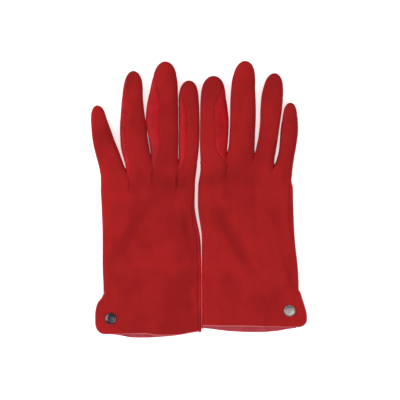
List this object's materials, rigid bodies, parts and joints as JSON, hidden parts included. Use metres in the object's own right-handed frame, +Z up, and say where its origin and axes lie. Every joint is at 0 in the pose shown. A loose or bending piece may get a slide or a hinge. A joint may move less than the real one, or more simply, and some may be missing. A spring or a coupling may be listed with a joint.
{
  "type": "pair of touchscreen gloves",
  "caption": "Pair of short fitted leather gloves lying flat, backs up, with snap tabs at the cuffs and touch pads on index finger and thumb.",
  "frame": {"origin": "under the middle of the pair, on the surface it lies on", "axes": "+Y along the fingers, +Z up from the backs, +X from the left-hand glove to the right-hand one"},
  "size_m": [0.1912, 0.2445, 0.0222],
  "materials": {
    "suede": "matte napped suede",
    "smooth_leather": "smooth satin leather",
    "facing": "raw flesh side of leather",
    "lining": "knitted brushed lining",
    "touch_pad": "woven conductive patch",
    "snap_dark": "polished dark nickel",
    "snap_bright": "polished nickel",
    "snap_metal": "nickel-plated brass"
  },
  "bodies": {
    "left_hand": {"left_back_panel": "suede", "left_palm_panel": "smooth_leather", "left_hand_lining": "lining", "left_cuff_facing": "facing", "left_snap_stud": "snap_metal", "left_snap_post": "snap_metal"},
    "left_tab": {"left_cuff_tab": "suede", "left_tab_facing": "facing", "left_snap_cap": "snap_dark", "left_snap_socket": "snap_metal"},
    "left_thumb": {"left_thumb_shell": "smooth_leather", "left_thumb_lining": "lining", "left_thumb_touch_pad": "touch_pad"},
    "left_little": {"left_little_back": "suede", "left_little_palm": "smooth_leather", "left_little_fourchettes": "smooth_leather", "left_little_lining": "lining"},
    "left_ring": {"left_ring_back": "suede", "left_ring_palm": "smooth_leather", "left_ring_fourchettes": "smooth_leather", "left_ring_lining": "lining"},
    "left_middle": {"left_middle_back": "suede", "left_middle_palm": "smooth_leather", "left_middle_fourchettes": "smooth_leather", "left_middle_lining": "lining"},
    "left_index": {"left_index_back": "suede", "left_index_palm": "smooth_leather", "left_index_fourchettes": "smooth_leather", "left_index_lining": "lining", "left_index_touch_pad": "touch_pad"},
    "right_hand": {"right_back_panel": "suede", "right_palm_panel": "smooth_leather", "right_hand_lining": "lining", "right_cuff_facing": "facing", "right_snap_stud": "snap_metal", "right_snap_post": "snap_metal"},
    "right_tab": {"right_cuff_tab": "suede", "right_tab_facing": "facing", "right_snap_cap": "snap_bright", "right_snap_socket": "snap_metal"},
    "right_thumb": {"right_thumb_shell": "smooth_leather", "right_thumb_lining": "lining", "right_thumb_touch_pad": "touch_pad"},
    "right_index": {"right_index_back": "suede", "right_index_palm": "smooth_leather", "right_index_fourchettes": "smooth_leather", "right_index_lining": "lining", "right_index_touch_pad": "touch_pad"},
    "right_middle": {"right_middle_back": "suede", "right_middle_palm": "smooth_leather", "right_middle_fourchettes": "smooth_leather", "right_middle_lining": "lining"},
    "right_ring": {"right_ring_back": "suede", "right_ring_palm": "smooth_leather", "right_ring_fourchettes": "smooth_leather", "right_ring_lining": "lining"},
    "right_little": {"right_little_back": "suede", "right_little_palm": "smooth_leather", "right_little_fourchettes": "smooth_leather", "right_little_lining": "lining"}
  },
  "joints": [
    {"name": "left_tab_fold", "type": "hinge", "parent": "left_hand", "child": "left_tab", "pos_m": [-0.07145, -0.1002, 0.00785], "axis": [-0.529, 0.8464, -0.0608], "range_deg": [0, 78]},
    {"name": "left_thumb_swing", "type": "hinge", "parent": "left_hand", "child": "left_thumb", "pos_m": [-0.0173, -0.04, 0.009], "axis": [0, 0, -1], "range_deg": [-12, 26]},
    {"name": "left_little_bend", "type": "hinge", "parent": "left_hand", "child": "left_little", "pos_m": [-0.07425, 0.022, 0.0152], "axis": [0.967, 0.2548, 0], "range_deg": [0, 75]},
    {"name": "left_ring_bend", "type": "hinge", "parent": "left_hand", "child": "left_ring", "pos_m": [-0.05065, 0.02415, 0.0157], "axis": [0.9967, 0.0809, 0], "range_deg": [0, 75]},
    {"name": "left_middle_bend", "type": "hinge", "parent": "left_hand", "child": "left_middle", "pos_m": [-0.02875, 0.0266, 0.0162], "axis": [1, 0.0058, 0], "range_deg": [0, 75]},
    {"name": "left_index_bend", "type": "hinge", "parent": "left_hand", "child": "left_index", "pos_m": [-0.0092, 0.02665, 0.0167], "axis": [0.9999, -0.0115, 0], "range_deg": [0, 75]},
    {"name": "gloves_apart", "type": "slide", "parent": "left_hand", "child": "right_hand", "axis": [1, 0, 0], "range_m": [0, 0.08]},
    {"name": "right_tab_fold", "type": "hinge", "parent": "right_hand", "child": "right_tab", "pos_m": [0.07285, -0.0961, 0.00785], "axis": [-0.687, -0.7243, 0.0593], "range_deg": [0, 78]},
    {"name": "right_thumb_swing", "type": "hinge", "parent": "right_hand", "child": "right_thumb", "pos_m": [0.0197, -0.037, 0.009], "axis": [0, 0, 1], "range_deg": [-12, 26]},
    {"name": "right_index_bend", "type": "hinge", "parent": "right_hand", "child": "right_index", "pos_m": [0.0127, 0.0329, 0.0167], "axis": [1, -0.0092, 0], "range_deg": [0, 75]},
    {"name": "right_middle_bend", "type": "hinge", "parent": "right_hand", "child": "right_middle", "pos_m": [0.03595, 0.03265, 0.0162], "axis": [0.998, -0.0639, 0], "range_deg": [0, 75]},
    {"name": "right_ring_bend", "type": "hinge", "parent": "right_hand", "child": "right_ring", "pos_m": [0.05635, 0.02845, 0.0157], "axis": [0.9905, -0.1377, 0], "range_deg": [0, 75]},
    {"name": "right_little_bend", "type": "hinge", "parent": "right_hand", "child": "right_little", "pos_m": [0.07375, 0.02645, 0.0152], "axis": [0.9908, -0.1353, 0], "range_deg": [0, 75]}
  ]
}
